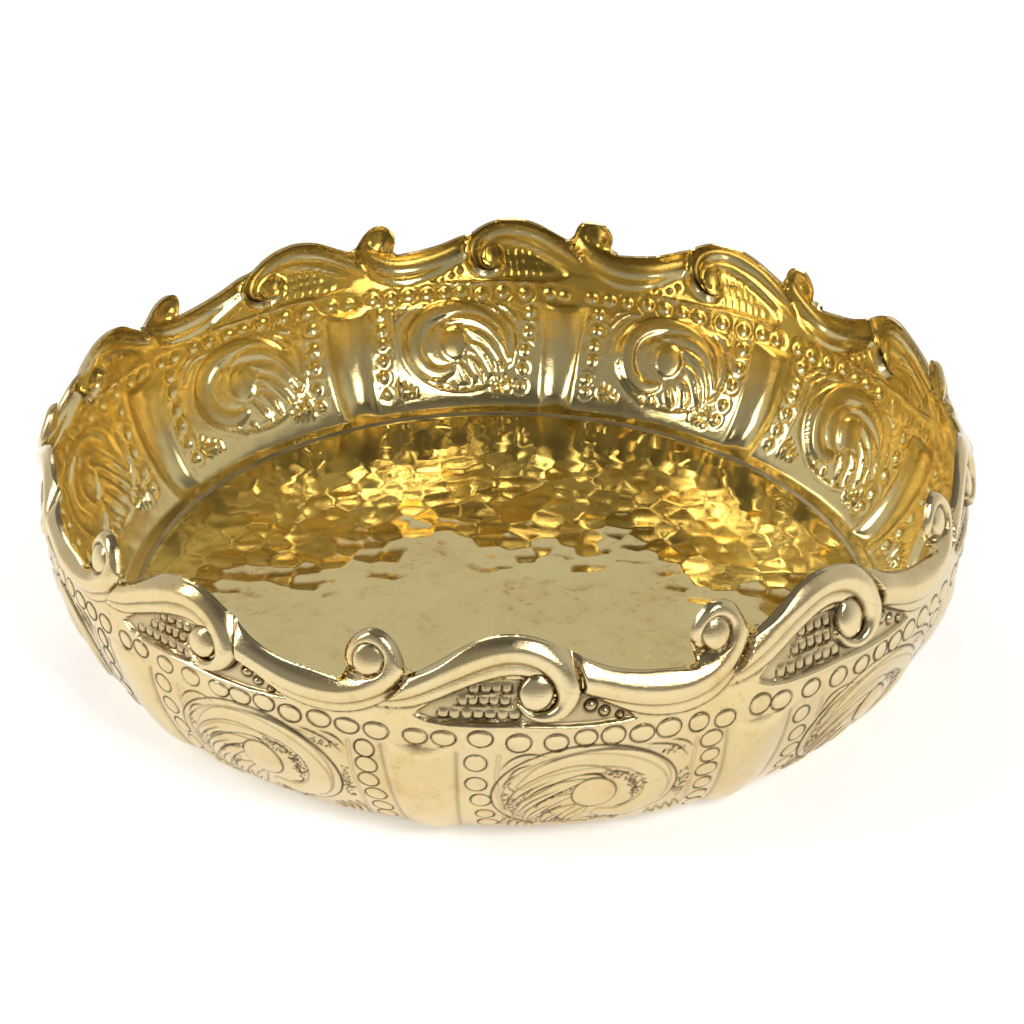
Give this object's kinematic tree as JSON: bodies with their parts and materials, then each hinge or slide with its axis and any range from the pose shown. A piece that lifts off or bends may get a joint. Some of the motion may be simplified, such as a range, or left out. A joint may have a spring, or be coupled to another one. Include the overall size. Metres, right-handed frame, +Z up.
{
  "type": "brass tray",
  "caption": "Round deep brass tray with a hammered floor, a chased panelled side and a scrolled, scalloped rim.",
  "frame": {"origin": "middle of the flat face that the tray rests on", "axes": "+Z up out of the mouth; -Y towards the front, with the first notch of the rim about 10 degrees left of it as seen from the front"},
  "size_m": [0.3544, 0.3528, 0.0913],
  "materials": {
    "chased_brass": "polished, with dark tarnish left in the chased lines",
    "hammered_brass": "polished over hammer marks, with small pits and stains",
    "solder": "dull brazing solder, filed flush"
  },
  "bodies": {
    "root": {"wall_band": "chased_brass", "floor_disc": "hammered_brass", "floor_solder": "solder", "seam_solder": "solder"}
  },
  "joints": []
}
